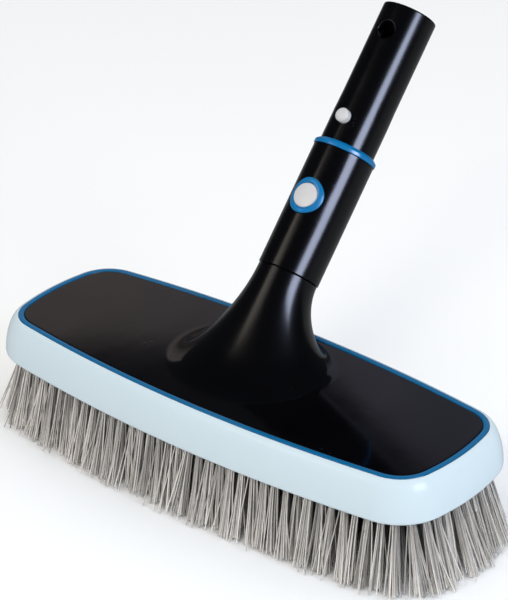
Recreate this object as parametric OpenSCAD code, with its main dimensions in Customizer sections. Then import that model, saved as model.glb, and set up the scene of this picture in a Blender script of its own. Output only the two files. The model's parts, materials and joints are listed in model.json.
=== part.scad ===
// Pool wall brush with a leaning handle that snaps into a telescopic pole.
// Millimetres. The bristle tips stand on z = 0, X runs along the head and the
// handle leans towards +Y. Handle parts are drawn upright, with z measured along
// the handle's axis and the release button facing -Y, then leaned into place.

/* [Head] */
// Length of the head at the blue trim line
head_l = 267.5; // [240:0.5:300]
// Width of the head at the blue trim line
head_w = 92.4; // [84:0.2:110]
// Height of the trim line above the bristle tips
head_h = 62; // [55:1:80]
// Bow of each short end
end_bow = 9; // [6:0.5:14]
// Bow of each long side
side_bow = 11.2; // [6:0.2:16]
// Corner radius at the trim line
corner_r = 18.9; // [15:0.1:24]
// Wall thickness of the black cover
cover_t = 3; // [2.5:0.1:3.4]

/* [Bumper] */
// How far the soft bumper stands out past the trim line
bumper_out = 9; // [7:0.5:12]
// Depth of the bumper's side from the trim line to its rounded bottom edge
bumper_side = 19.6; // [18:0.2:22]
// Radius of the bumper's bottom edge
bumper_edge_r = 2.3; // [1.5:0.1:3]
// Width of the blue trim
trim_w = 3; // [2:0.1:3.2]

/* [Neck] */
// Lean of the handle from upright
lean = 41.8; // [35:0.1:50]
// Where the handle's axis crosses the trim plane, behind the middle of the head
axis_y = 0.9; // [-2:0.1:4]
// Distance along the handle from the trim plane to the top of the neck
neck_s = 51; // [48:0.5:54]
// Radius of the neck where the sleeve sits on it
neck_r = 16; // [15.5:0.05:16.3]
// Reach of the neck's root to each end of the head
root_end = 46; // [44:1:56]
// Reach of the neck's root towards the front
root_front = 42; // [38:1:46]
// Reach of the neck's root towards the back
root_back = 38.2; // [34:0.2:38.4]

/* [Handle] */
// Radius of the tube that enters the pole
tube_r = 14.5; // [14:0.05:15]
// Wall thickness of the tube
tube_t = 2; // [1.8:0.1:2.2]
// Distance along the handle to the tube's tip
tube_tip_s = 199.8; // [195:0.2:230]
// Radius of the sleeve below the collar
sleeve_r = 16.5; // [16.1:0.05:16.8]
// Distance along the handle to the foot of the blue collar
collar_s = 118.6; // [116:0.2:121]
// Radius of the blue collar
collar_r = 17; // [16.6:0.05:17.4]
// Distance along the handle to the hole through the tube's tip
cross_hole_s = 184.6; // [180:0.2:186]
// Radius of the hole through the tube's tip
cross_hole_r = 4.9; // [3.5:0.1:5]

/* [Release] */
// Distance along the handle to the push button
button_s = 89.9; // [88:0.1:92]
// Radius of the push button
button_r = 6.6; // [6:0.1:6.8]
// Radius of the blue bezel round the button
bezel_r = 9.6; // [9:0.1:10]
// Distance along the handle to the lock pin
pin_s = 134.9; // [133:0.1:136]
// Radius of the lock pin
pin_r = 3.7; // [3.2:0.1:3.8]
// Distance along the handle to the lever's pivot
pivot_s = 69; // [68:0.1:70]

/* [Bristles] */
// Radius of a tuft at its hole
tuft_r = 2.4; // [2:0.1:2.5]
// Radius of a tuft at its tips
tuft_tip_r = 2.9; // [2.4:0.1:3]
// Spacing of the tufts along the outermost ring
outer_pitch = 6.6; // [6.4:0.1:8]
// Spacing of the tufts along the inner rings
inner_pitch = 7.6; // [7.2:0.1:9]
// Spacing between rings
ring_step = 9; // [8.6:0.1:9.2]
// Outward lean of the outermost tufts on the long sides
splay_side = 8; // [4:1:10]
// Outward lean of the outermost tufts at the ends
splay_end = 14; // [8:1:16]

/* [Hidden] */
$fn = 48;
half_l = head_l / 2;
half_w = head_w / 2;
axis_dir = [0, sin(lean), cos(lean)];
back_dir = [0, cos(lean), -sin(lean)];
axis_foot = [0, axis_y, head_h];
neck_top = axis_foot + neck_s * axis_dir;

// Layers of the head, measured down from the trim plane
ledge_top = cover_t + 0.1;
ledge_bottom = 6;
block_top = 6.1;
block_bottom = 17;
block_z = head_h - block_bottom;
block_edge = 1.8;
tuft_depth = 8;
outer_inset = -1.6;
staple = [4.4, 0.5, 1.8];
staple_lift = 0.2;

// Screws that hold the block up against the cover
block_screws_at = [[98, 24], [98, -24], [-98, 24], [-98, -24], [70, 0], [-70, 0]];
screw_r = 1.75;
screw_head_r = 3.1;
screw_head_t = 2.4;
screw_sink = 4.6;
screw_tip = 1.6;
screw_clear = 6.6;

// Parts down the handle
wall_gap = 0.05;
bore_r = tube_r - tube_t;
land_r = tube_r + 0.2;
land_end_s = 139.6;
tube_foot_s = neck_s + 0.3;
spigot_r = 12;
spigot_foot_s = 22.5;
spigot_top_s = 61;
socket_floor_s = 22;
socket_under_s = 18;
socket_wall_r = 14.2;
handle_screw_r = 1.6;
handle_screw_len = 20;
washer_t = 1.2;
dowel_s = 56;
dowel_r = 1.5;

// Release mechanism. Heights are measured from the handle's axis towards the button.
carrier_r = bore_r - 0.1;
carrier_foot_s = 62;
carrier_top_s = 150;
slot_half = 5.2;
slot_floor = -6;
lever_half = 4.6;
lever_under = 2.6;
lever_top = 6.6;
lever_end_s = pin_s + 6;
knuckle_r = 4;
pivot_h = 2;
pivot_pin_r = 1.5;
fork_half = 2.4;
spring_s = 118;
spring_r = 2.5;
spring_wire_r = 0.4;
spring_turns = 5;
spring_seat = 1;
spring_foot = slot_floor - spring_seat + 0.05;
spring_head = lever_under - 0.05;

// ---- Barrel outline: arcs for the long sides, ends and corners, all tangent ----

function arc_r(half_chord, bow) = (half_chord * half_chord + bow * bow) / (2 * bow);
function polar(c, r, a) = [c.x + r * cos(a), c.y + r * sin(a)];
function rad(a) = a * PI / 180;
function angle_from(c, p) = atan2(p.y - c.y, p.x - c.x);

side_r = arc_r(half_l, side_bow);
end_r = arc_r(half_w, end_bow);
side_c = [0, half_w - side_r];
end_c = [half_l - end_r, 0];
smallest_corner = 2;

// Corner radius, corner centre and the two angles where the arcs meet, for an outline
// that lies d outside the trim line
function corner_radius(d) = max(corner_r + d, smallest_corner);
function corner_centre(d) =
    let (r = corner_radius(d), r1 = side_r + d - r, r2 = end_r + d - r)
    let (w = end_c - side_c, l = norm(w), u = w / l)
    let (along = (l * l + r1 * r1 - r2 * r2) / (2 * l), off = sqrt(r1 * r1 - along * along))
    side_c + along * u + off * [u.y, -u.x];
function side_angle(d) = angle_from(side_c, corner_centre(d));
function end_angle(d) = angle_from(end_c, corner_centre(d));

// One quarter of the outline, from the middle of the +Y side to the middle of the +X end
function quarter(d, n_side, n_corner, n_end) =
    let (c = corner_centre(d), r = corner_radius(d), a1 = side_angle(d), a2 = end_angle(d))
    concat(
        [for (i = [0 : n_side - 1]) polar(side_c, side_r + d, 90 + (a1 - 90) * i / n_side)],
        [for (i = [0 : n_corner - 1]) polar(c, r, a1 + (a2 - a1) * i / n_corner)],
        [for (i = [0 : n_end]) polar(end_c, end_r + d, a2 * (1 - i / n_end))]
    );
function around(q) =
    let (n = len(q) - 1)
    concat(
        [for (i = [0 : n - 1]) q[i]],
        [for (i = [n : -1 : 1]) [q[i].x, -q[i].y]],
        [for (i = [0 : n - 1]) [-q[i].x, -q[i].y]],
        [for (i = [n : -1 : 1]) [-q[i].x, q[i].y]]
    );
function outline(d) = around(quarter(d, 8, 7, 4));
function ring_at(d, z) = [for (p = outline(d)) [p.x, p.y, z]];

// The point and outward angle at a length l along the quarter outline
function quarter_lengths(d) = [
    (side_r + d) * rad(90 - side_angle(d)),
    corner_radius(d) * rad(side_angle(d) - end_angle(d)),
    (end_r + d) * rad(end_angle(d)),
];
function walk(d, l) =
    let (q = quarter_lengths(d))
    l < q[0] ? let (a = 90 - l / q[0] * (90 - side_angle(d))) [polar(side_c, side_r + d, a), a]
    : l < q[0] + q[1]
        ? let (a = side_angle(d) - (l - q[0]) / q[1] * (side_angle(d) - end_angle(d)))
            [polar(corner_centre(d), corner_radius(d), a), a]
        : let (a = end_angle(d) * (1 - (l - q[0] - q[1]) / q[2]))
            [polar(end_c, end_r + d, a), a];

// ---- Closed skins through rings of points ----

function fan(centre, first, n, flip) = [
    for (i = [0 : n - 1])
        let (a = first + i, b = first + (i + 1) % n)
        flip ? [centre, b, a] : [centre, a, b]
];
function band(first, next, n) = [
    for (i = [0 : n - 1])
        let (j = (i + 1) % n)
        each [[first + i, next + i, next + j], [first + i, next + j, first + j]]
];

// Rings in order round a closed tube, the last one joined to the first
module ring_skin(rings) {
    n = len(rings[0]);
    m = len(rings);
    polyhedron(
        points = [for (r = rings) each r],
        faces = [for (k = [0 : m - 1]) each band(k * n, ((k + 1) % m) * n, n)],
        convexity = 10
    );
}

// Rings in order from one closed end to the other
module capped_skin(rings, first_centre, last_centre) {
    n = len(rings[0]);
    m = len(rings);
    polyhedron(
        points = concat([for (r = rings) each r], [first_centre, last_centre]),
        faces = concat(
            fan(m * n, 0, n, false),
            [for (k = [0 : m - 2]) each band(k * n, (k + 1) * n, n)],
            fan(m * n + 1, (m - 1) * n, n, true)
        ),
        convexity = 10
    );
}

// ---- Neck: a swoop from the flat plate up to the leaning handle ----

function swoop(p0, p1, p2, p3, t) =
    pow(1 - t, 3) * p0 + 3 * pow(1 - t, 2) * t * p1 + 3 * (1 - t) * t * t * p2 + t * t * t * p3;
function by_side(a, end_value, front_value, back_value) =
    cos(a) * cos(a) * end_value + sin(a) * sin(a) * (sin(a) > 0 ? back_value : front_value);

root_y = 6.5;
end_lead = [11, 21];
front_lead = [15, 30];
back_lead = [7.5, 8.7];

// A ring of the neck's surface, t from 0 at the plate to 1 at the top, set in by thin
function neck_ring(t, thin, z, top) = [
    for (p = outline(0))
        let (a = atan2(p.y / half_w, p.x / half_l))
        let (reach_y = (sin(a) > 0 ? root_back : root_front) - thin)
        let (reach = 1 / norm([cos(a) / (root_end - thin), sin(a) / reach_y]))
        let (foot = [reach * cos(a), root_y + reach * sin(a), z])
        let (rim = top + (neck_r - thin) * (cos(a) * [1, 0, 0] + sin(a) * back_dir))
        let (inward = -[reach * cos(a), reach * sin(a), 0] / reach)
        swoop(
            foot,
            foot + inward * by_side(a, end_lead[0], front_lead[0], back_lead[0]),
            rim - axis_dir * by_side(a, end_lead[1], front_lead[1], back_lead[1]),
            rim,
            t
        )
];

// ---- Placing ----

// Leans handle parts into place
module on_handle() {
    translate(axis_foot) rotate([-lean, 0, 0]) children();
}

// From the handle's axis at s, out towards the button's side
module facing(s, h = 0) {
    translate([0, -h, s]) rotate([90, 0, 0]) children();
}

// Across the handle at s, along X
module across(s, h, length) {
    translate([-length / 2, -h, s]) rotate([0, 90, 0]) children();
}

module revolve(profile) {
    rotate_extrude() polygon(profile);
}

module plate(d, z_low, z_high) {
    translate([0, 0, z_low]) linear_extrude(z_high - z_low) polygon(outline(d));
}

// ---- Tufts ----

function clear_of_screws(p) =
    min([for (s = block_screws_at) norm(p - s)]) > screw_clear;
function splay(a, most_side, most_end) = most_side + (most_end - most_side) * abs(cos(a));

// [x, y, outward angle, lean] of every tuft on the ring that lies d outside the trim line
function ring_tufts(d, pitch, lean_side, lean_end) =
    let (q = quarter_lengths(d), total = q[0] + q[1] + q[2], n = round(total / pitch))
    [
        for (i = [0 : n - 1], sx = [1, -1], sy = [1, -1])
            let (w = walk(d, (i + 0.5) * total / n), p = [sx * w[0].x, sy * w[0].y])
            if (clear_of_screws(p) && abs(p.y) > tuft_tip_r + 0.2)
                [p.x, p.y, atan2(sy * sin(w[1]), sx * cos(w[1])), splay(w[1], lean_side, lean_end)]
    ];
function row_tufts(half, pitch) = [
    for (i = [-floor(half / pitch) : floor(half / pitch)])
        if (clear_of_screws([i * pitch, 0])) [i * pitch, 0, 0, 0]
];

outer_set = ring_tufts(outer_inset, outer_pitch, splay_side, splay_end);
second_set = ring_tufts(outer_inset - ring_step, inner_pitch, 5, 8);
third_set = ring_tufts(outer_inset - 2 * ring_step, inner_pitch, 3, 4);
fourth_set = ring_tufts(outer_inset - 3 * ring_step, inner_pitch, 0, 0);
fifth_set = ring_tufts(outer_inset - 4 * ring_step, inner_pitch, 0, 0);
middle_set = row_tufts(half_l - 5.6 * ring_step, inner_pitch);
all_sets = concat(outer_set, second_set, third_set, fourth_set, fifth_set, middle_set);

// Puts its children on a tuft's axis, with +Z running out of the hole to the tips
module on_tuft(t) {
    translate([t[0], t[1], block_z]) rotate([0, 180 - t[3], t[2]]) children();
}

// A tuft's folded root is notched for the staple that holds it
module tuft(t) {
    length = (block_z - tuft_tip_r * sin(t[3])) / cos(t[3]);
    notch = [6, staple.y + 0.1, staple.z + staple_lift + 1.1];
    on_tuft(t) difference() {
        revolve([
            [0, -tuft_depth], [tuft_r, -tuft_depth], [tuft_r, 0], [tuft_tip_r, length], [0, length],
        ]);
        translate([-notch.x / 2, -notch.y / 2, -tuft_depth - 1]) cube(notch);
    }
}

module tufts(set) {
    color("#9a9997") for (t = set) tuft(t);
}

module outer_tufts() { tufts(outer_set); }
module second_tufts() { tufts(second_set); }
module third_tufts() { tufts(third_set); }
module fourth_tufts() { tufts(fourth_set); }
module fifth_tufts() { tufts(fifth_set); }
module middle_tufts() { tufts(middle_set); }

// Flat steel staples across the folded roots
module tuft_anchors() {
    color("silver") for (t = all_sets)
        on_tuft(t) translate([-staple.x / 2, -staple.y / 2, staple_lift - tuft_depth]) cube(staple);
}

// ---- Head ----

// Cover plate and hollow neck in one moulding, with the handle's socket and screw bosses
module top_cover() {
    edge = -trim_w / 2 - 0.1;
    bevel = 0.5;
    steps = 12;
    cap_t = 4;
    under = head_h - cover_t;
    inner_top = neck_top - cap_t * axis_dir;
    color("#141418") difference() {
        union() {
            capped_skin(
                concat(
                    [for (i = [steps : -1 : 0]) neck_ring(i / steps, 0, head_h, neck_top)],
                    [ring_at(edge - bevel, head_h), ring_at(edge, head_h - bevel), ring_at(edge, under)],
                    [for (i = [0 : steps / 2]) neck_ring(2 * i / steps, cover_t, under, inner_top)]
                ),
                neck_top,
                inner_top
            );
            on_handle() translate([0, 0, socket_under_s])
                cylinder(h = neck_s - 0.5 - socket_under_s, r = socket_wall_r);
            for (p = block_screws_at)
                translate([p.x, p.y, head_h - block_top])
                    cylinder(h = block_top - screw_tip, r = 3.6);
        }
        on_handle() translate([0, 0, socket_floor_s])
            cylinder(h = neck_s + 1 - socket_floor_s, r = spigot_r + wall_gap);
        on_handle() translate([0, 0, socket_under_s - 1])
            cylinder(h = 6, r = handle_screw_r + 0.6);
        for (p = block_screws_at)
            translate([p.x, p.y, head_h - block_top - 1])
                cylinder(h = block_top + 1 - screw_tip, r = screw_r);
    }
}

// Soft frame round the head: convex side, small bottom radius and a clamped inner ledge
module bumper_frame() {
    inner = trim_w / 2 + 0.1;
    swell = 2 / 1.77;
    arc_steps = 9;
    edge_steps = 3;
    side_z = head_h - bumper_side;
    side = [
        for (i = [0 : arc_steps])
            let (a = 90 - 90 * i / arc_steps)
            [inner + (bumper_out - inner) * pow(cos(a), swell), side_z + bumper_side * pow(sin(a), swell)]
    ];
    edge = [
        for (i = [1 : edge_steps])
            let (a = 90 * i / edge_steps)
            [bumper_out - bumper_edge_r * (1 - cos(a)), side_z - bumper_edge_r * sin(a)]
    ];
    inside = [
        [2.4, side_z - bumper_edge_r],
        [block_edge + 0.1, side_z - bumper_edge_r + 1],
        [block_edge + 0.1, head_h - ledge_bottom],
        [-5, head_h - ledge_bottom],
        [-5, head_h - ledge_top],
        [inner, head_h - ledge_top],
    ];
    color("#d3e6ec") ring_skin([for (p = concat(side, edge, inside)) ring_at(p[0], p[1])]);
}

// Blue line inlaid between cover and bumper
module trim_ring() {
    half = trim_w / 2;
    color("#0b64a0") difference() {
        plate(half, head_h - cover_t, head_h + 0.1);
        plate(-half, head_h - cover_t - 1, head_h + 1);
    }
}

// Moulded block that holds the tufts, drilled from below
module bristle_block() {
    color("#1c1c1e") difference() {
        plate(block_edge, block_z, head_h - block_top);
        for (t = all_sets)
            on_tuft(t) translate([0, 0, -tuft_depth]) cylinder(h = tuft_depth + 2, r = tuft_r);
        for (p = block_screws_at)
            translate([p.x, p.y, block_z]) {
                translate([0, 0, -1]) cylinder(h = block_bottom, r = screw_r + 0.25);
                translate([0, 0, -1]) cylinder(h = screw_sink + 1, r = screw_head_r + 0.3);
            }
    }
}

module block_screws() {
    length = block_bottom - screw_sink - screw_tip - 0.4;
    color("silver") for (p = block_screws_at)
        translate([p.x, p.y, block_z + screw_sink]) difference() {
            union() {
                translate([0, 0, -screw_head_t]) cylinder(h = screw_head_t, r = screw_head_r);
                cylinder(h = length, r = screw_r);
            }
            for (a = [0, 90])
                rotate([0, 0, a]) translate([-2, -0.4, -screw_head_t - 1]) cube([4, 0.8, 2.2]);
        }
}

// ---- Handle ----

// Plug that joins the tube to the neck's socket
module neck_spigot() {
    color("#202022") on_handle() difference() {
        revolve([
            [0, spigot_foot_s], [spigot_r - 1, spigot_foot_s], [spigot_r, spigot_foot_s + 1],
            [spigot_r, tube_foot_s], [bore_r - wall_gap, tube_foot_s],
            [bore_r - wall_gap, spigot_top_s], [0, spigot_top_s],
        ]);
        translate([0, 0, spigot_foot_s - 1]) cylinder(h = handle_screw_len, r = handle_screw_r);
        across(dowel_s, 0, 30) cylinder(h = 30, r = dowel_r);
    }
}

// Driven up into the spigot from under the cover
module handle_screw() {
    head_r = 3.8;
    head_t = 2.8;
    head_s = socket_under_s - washer_t;
    color("silver") on_handle() difference() {
        revolve([
            [0, head_s - head_t], [head_r - 0.6, head_s - head_t], [head_r, head_s - head_t + 0.8],
            [head_r, head_s], [handle_screw_r, head_s],
            [handle_screw_r, head_s + handle_screw_len], [0, head_s + handle_screw_len + 1.5],
        ]);
        for (a = [0, 90])
            rotate([0, 0, a]) translate([-2.2, -0.45, head_s - head_t - 1]) cube([4.4, 0.9, 2.4]);
    }
}

module handle_washer() {
    color("silver") on_handle() translate([0, 0, socket_under_s - washer_t]) difference() {
        cylinder(h = washer_t, r = 5);
        translate([0, 0, -1]) cylinder(h = washer_t + 2, r = handle_screw_r + 0.3);
    }
}

// Steel pin through tube and spigot, hidden by the sleeve
module tube_dowel() {
    length = 2 * (land_r - 0.6);
    color("silver") on_handle() across(dowel_s, 0, length) cylinder(h = length, r = dowel_r);
}

module handle_sleeve() {
    chamfer = 0.4;
    foot = neck_s + 0.1;
    bore = land_r + wall_gap;
    color("#121216") on_handle() difference() {
        revolve([
            [bore, foot], [sleeve_r - chamfer, foot], [sleeve_r, foot + chamfer],
            [sleeve_r, collar_s - 0.1], [bore, collar_s - 0.1],
        ]);
        facing(button_s) cylinder(h = 30, r = bezel_r + wall_gap);
    }
}

// Tube that enters the pole. A land below the lock pin is a touch larger and takes up play.
module pole_tube() {
    chamfer = 0.7;
    color("#0e0e12") on_handle() difference() {
        revolve([
            [bore_r, tube_foot_s], [land_r, tube_foot_s], [land_r, land_end_s],
            [tube_r, land_end_s + 0.4], [tube_r, tube_tip_s - chamfer],
            [tube_r - chamfer, tube_tip_s], [bore_r, tube_tip_s],
        ]);
        facing(button_s) cylinder(h = 30, r = button_r + 0.25);
        facing(pin_s) cylinder(h = 30, r = pin_r + 0.08);
        facing(cross_hole_s, -30) cylinder(h = 60, r = cross_hole_r);
        across(dowel_s, 0, 40) cylinder(h = 40, r = dowel_r);
    }
}

module collar_ring() {
    bore = land_r + wall_gap;
    color("#0b64a0") on_handle() revolve([
        [bore, collar_s], [collar_r, collar_s], [collar_r, collar_s + 1.7],
        [collar_r - 0.6, collar_s + 3], [bore + 0.3, collar_s + 3.6], [bore, collar_s + 3.6],
    ]);
}

// Blue ring set into the sleeve, following the sleeve's curve
module button_bezel() {
    proud = 0.55;
    color("#0b64a0") on_handle() intersection() {
        translate([0, 0, button_s - 15]) difference() {
            cylinder(h = 30, r = sleeve_r + proud);
            translate([0, 0, -1]) cylinder(h = 32, r = land_r + wall_gap);
        }
        facing(button_s) difference() {
            cylinder(h = 30, r = bezel_r);
            translate([0, 0, -1]) cylinder(h = 32, r = button_r + 0.08);
        }
    }
}

// ---- Release mechanism ----

// Core inside the tube: slot for the lever, pocket for the button and seat for the spring
module mechanism_carrier() {
    slot_foot = carrier_foot_s + 2;
    slot_top = carrier_top_s - 3;
    pocket_floor = 5.2;
    color("#26262a") on_handle() difference() {
        translate([0, 0, carrier_foot_s]) cylinder(h = carrier_top_s - carrier_foot_s, r = carrier_r);
        translate([-slot_half, -20, slot_foot])
            cube([2 * slot_half, 20 - slot_floor, slot_top - slot_foot]);
        facing(button_s, pocket_floor) cylinder(h = 20, r = button_r + 1.1);
        facing(spring_s, slot_floor - spring_seat) cylinder(h = 3, r = spring_r + 0.8);
        across(pivot_s, pivot_h, 30) cylinder(h = 30, r = pivot_pin_r);
    }
}

module lever_pivot() {
    length = 23;
    color("silver") on_handle() across(pivot_s, pivot_h, length) cylinder(h = length, r = pivot_pin_r);
}

// Turns on the pivot; the button presses it and its fork draws the lock pin in
module rocker_lever() {
    color("#e6e6e2") on_handle() difference() {
        union() {
            translate([-lever_half, -lever_top, pivot_s])
                cube([2 * lever_half, lever_top - lever_under, lever_end_s - pivot_s]);
            across(pivot_s, pivot_h, 2 * lever_half) cylinder(h = 2 * lever_half, r = knuckle_r);
            facing(spring_s, lever_under - 1.4) cylinder(h = 2, r = spring_r - spring_wire_r - 0.2);
        }
        across(pivot_s, pivot_h, 30) cylinder(h = 30, r = pivot_pin_r + 0.06);
        translate([-fork_half, -20, pin_s - fork_half]) cube([2 * fork_half, 30, 30]);
    }
}

module release_button() {
    stem_r = 2.5;
    flange_r = button_r + 0.7;
    face = 16.6;
    color("#f2f2f0") on_handle() facing(button_s) revolve([
        [0, lever_top + 0.3], [stem_r, lever_top + 0.3], [stem_r, 8.4], [flange_r, 8.4],
        [flange_r, 9.9], [button_r, 9.9], [button_r, face], [button_r - 0.7, face + 0.5],
        [0, face + 0.8],
    ]);
}

module lock_pin() {
    neck = 1.8;
    shoulder = 17;
    dome = 1.6;
    nose = [
        for (i = [1 : 5])
            let (a = 18 * i)
            [pin_r * cos(a), shoulder + dome * sin(a)]
    ];
    color("#f0f0ee") on_handle() facing(pin_s) revolve(concat(
        [
            [0, 0.8], [3, 0.8], [3, lever_under - 0.5], [neck, lever_under - 0.5],
            [neck, lever_top + 0.4], [3.2, lever_top + 0.4], [3.2, 9.8], [4.6, 9.8],
            [4.6, 11.2], [pin_r, 11.2], [pin_r, shoulder],
        ],
        nose
    ));
}

// Compression spring between the carrier's floor and the lever
module return_spring() {
    around_wire = 6;
    per_turn = 12;
    count = spring_turns * per_turn;
    rise = spring_head - spring_foot - 2 * spring_wire_r;
    rings = [
        for (k = [0 : count])
            let (a = 360 * k / per_turn, z = spring_foot + spring_wire_r + rise * k / count)
            [
                for (j = [0 : around_wire - 1])
                    let (b = -360 * j / around_wire, r = spring_r + spring_wire_r * cos(b))
                    [r * cos(a), r * sin(a), z + spring_wire_r * sin(b)]
            ]
    ];
    first = [spring_r, 0, spring_foot + spring_wire_r];
    last = [spring_r, 0, spring_foot + spring_wire_r + rise];
    color("silver") on_handle() facing(spring_s) capped_skin(rings, first, last);
}

top_cover();
bumper_frame();
trim_ring();
bristle_block();
outer_tufts();
second_tufts();
third_tufts();
fourth_tufts();
fifth_tufts();
middle_tufts();
tuft_anchors();
block_screws();
neck_spigot();
handle_screw();
handle_washer();
tube_dowel();
handle_sleeve();
pole_tube();
collar_ring();
button_bezel();
mechanism_carrier();
lever_pivot();
return_spring();
rocker_lever();
release_button();
lock_pin();
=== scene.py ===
import json
import math

import bmesh
import bpy
import numpy as np
from mathutils import Matrix, Vector

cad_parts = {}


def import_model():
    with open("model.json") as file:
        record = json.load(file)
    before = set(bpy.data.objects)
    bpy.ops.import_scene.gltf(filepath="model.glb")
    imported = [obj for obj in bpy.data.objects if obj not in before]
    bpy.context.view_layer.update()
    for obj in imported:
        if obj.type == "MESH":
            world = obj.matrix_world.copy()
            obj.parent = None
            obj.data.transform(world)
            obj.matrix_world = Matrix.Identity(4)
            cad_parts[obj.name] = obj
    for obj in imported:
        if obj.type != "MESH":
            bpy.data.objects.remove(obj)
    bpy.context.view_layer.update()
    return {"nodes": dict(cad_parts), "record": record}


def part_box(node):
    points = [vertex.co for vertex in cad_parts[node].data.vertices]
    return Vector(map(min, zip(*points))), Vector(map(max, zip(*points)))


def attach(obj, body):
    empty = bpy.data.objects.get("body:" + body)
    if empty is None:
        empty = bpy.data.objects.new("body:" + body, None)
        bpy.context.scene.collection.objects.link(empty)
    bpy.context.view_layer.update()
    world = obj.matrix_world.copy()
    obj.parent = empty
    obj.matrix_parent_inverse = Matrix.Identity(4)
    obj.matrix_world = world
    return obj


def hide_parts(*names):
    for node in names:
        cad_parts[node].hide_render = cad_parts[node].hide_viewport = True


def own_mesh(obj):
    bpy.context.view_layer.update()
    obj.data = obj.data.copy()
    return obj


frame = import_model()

# Pool wall brush: smooth shells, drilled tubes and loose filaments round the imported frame.
# Shapes are worked out in millimetres in the frame's axes, and turned into metres when a
# mesh is made. Handle parts use (x, w, s): x along the head, w from the handle's axis
# towards the push button, s along the axis from the trim plane.

MM = 0.001

# ---------------------------------------------------------------- sizes, from the frame

record = frame["record"]
mounts = {m["name"]: m for m in record["mounts"]}
trim_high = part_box("trim_ring")[1]

TRIM_HALF = 1.5
TRIM_PROUD = 0.1

# Clearance between fitted parts, and round the tube where rings slide onto it
GAP = 0.1
SLIP = 0.05

HEAD_H = trim_high.z / MM - TRIM_PROUD
HALF_L = trim_high.x / MM - TRIM_HALF
HALF_W = trim_high.y / MM - TRIM_HALF
SIDE_BOW = 11.2
END_BOW = 9.0
CORNER_R = 18.9

AXIS = np.array(mounts["pole_spigot"]["axis"])
FACING = np.array(mounts["cross_hole"]["axis"])
ACROSS = np.array([1.0, 0.0, 0.0])
spigot_at = np.array(mounts["pole_spigot"]["pos_m"]) / MM
FOOT = spigot_at - AXIS * (spigot_at[2] - HEAD_H) / AXIS[2]
BACK = np.array([0.0, AXIS[2], -AXIS[1]])

COVER_T = 3.0
NECK_S = 51.0
NECK_R = 16.0
ROOT_END = 46.0
ROOT_FRONT = 42.0
ROOT_BACK = 38.2
ROOT_Y = 6.5
END_LEAD = (11.0, 21.0)
FRONT_LEAD = (15.0, 30.0)
BACK_LEAD = (7.5, 8.7)

SLEEVE_R = 16.5
COLLAR_S = 118.6
COLLAR_R = 17.0
TUBE_R = mounts["pole_spigot"]["dims"]["r_mm"]
LAND_R = TUBE_R + 0.2
LAND_END_S = 139.6
BORE_R = 12.5
TUBE_TIP_S = 199.8
CROSS_S = 184.6
CROSS_R = mounts["cross_hole"]["dims"]["r_mm"]
BUTTON_S = 89.9
BUTTON_R = 6.6
BEZEL_R = 9.6
PIN_S = 134.9
PIN_R = 3.7
SPRING_S = 118.0
SCREWS_AT = [(98, 24), (98, -24), (-98, 24), (-98, -24), (70, 0), (-70, 0)]

# Angles of the points in a rounded edge, after the first
QUARTER = np.radians([22.5, 45, 67.5, 90])


# ---------------------------------------------------------------- profiles and outlines


def rounded(corners, steps=5):
    """A profile through corners (a, b, radius), with an arc of that radius at each."""
    out = []
    n = len(corners)
    for i, (a, b, r) in enumerate(corners):
        here = np.array([a, b], float)
        if r == 0:
            out.append(here)
            continue
        before = np.array(corners[i - 1][:2], float) - here
        after = np.array(corners[(i + 1) % n][:2], float) - here
        before /= np.linalg.norm(before)
        after /= np.linalg.norm(after)
        half = math.acos(np.clip(before @ after, -1, 1)) / 2
        centre = here + (before + after) / np.linalg.norm(before + after) * r / math.sin(half)
        start = here + before * r / math.tan(half) - centre
        end = here + after * r / math.tan(half) - centre
        first = math.atan2(start[1], start[0])
        turn = math.atan2(end[1], end[0]) - first
        turn = (turn + math.pi) % (2 * math.pi) - math.pi
        for k in range(steps + 1):
            angle = first + turn * k / steps
            out.append(centre + r * np.array([math.cos(angle), math.sin(angle)]))
    return np.array(out)


def arc_radius(half_chord, bow):
    """Radius of the arc that stands bow above the middle of its chord."""
    return (half_chord**2 + bow**2) / (2 * bow)


def barrel_outline(side_steps=40, corner_steps=18, end_steps=20):
    """Points of the trim line and the outward direction at each, all round the head."""
    side_r = arc_radius(HALF_L, SIDE_BOW)
    end_r = arc_radius(HALF_W, END_BOW)
    side_c = np.array([0.0, HALF_W - side_r])
    end_c = np.array([HALF_L - end_r, 0.0])
    between = end_c - side_c
    gap = np.linalg.norm(between)
    unit = between / gap
    r1, r2 = side_r - CORNER_R, end_r - CORNER_R
    along = (gap**2 + r1**2 - r2**2) / (2 * gap)
    off = math.sqrt(r1**2 - along**2)
    corner_c = side_c + along * unit + off * np.array([unit[1], -unit[0]])
    side_end = math.atan2(*(corner_c - side_c)[::-1])
    end_start = math.atan2(*(corner_c - end_c)[::-1])
    arcs = [
        (side_c, side_r, math.pi / 2, side_end, side_steps),
        (corner_c, CORNER_R, side_end, end_start, corner_steps),
        (end_c, end_r, end_start, 0.0, end_steps),
    ]
    points, normals = [], []
    for centre, radius, first, last, steps in arcs:
        for k in range(steps):
            angle = first + (last - first) * k / steps
            normal = np.array([math.cos(angle), math.sin(angle)])
            points.append(centre + radius * normal)
            normals.append(normal)
    points.append(np.array([HALF_L, 0.0]))
    normals.append(np.array([1.0, 0.0]))
    p, q = np.array(points), np.array(normals)
    right = np.vstack([p, p[-2::-1] * [1, -1]])
    right_n = np.vstack([q, q[-2::-1] * [1, -1]])
    left = right[-2:0:-1] * [-1, 1]
    left_n = right_n[-2:0:-1] * [-1, 1]
    return np.vstack([right, left]), np.vstack([right_n, left_n])


OUTLINE, OUTWARD = barrel_outline()


def ring_at(d, z):
    """The outline moved out by d, at height z."""
    flat = OUTLINE + d * OUTWARD
    return np.column_stack([flat, np.full(len(flat), z)])


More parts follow.
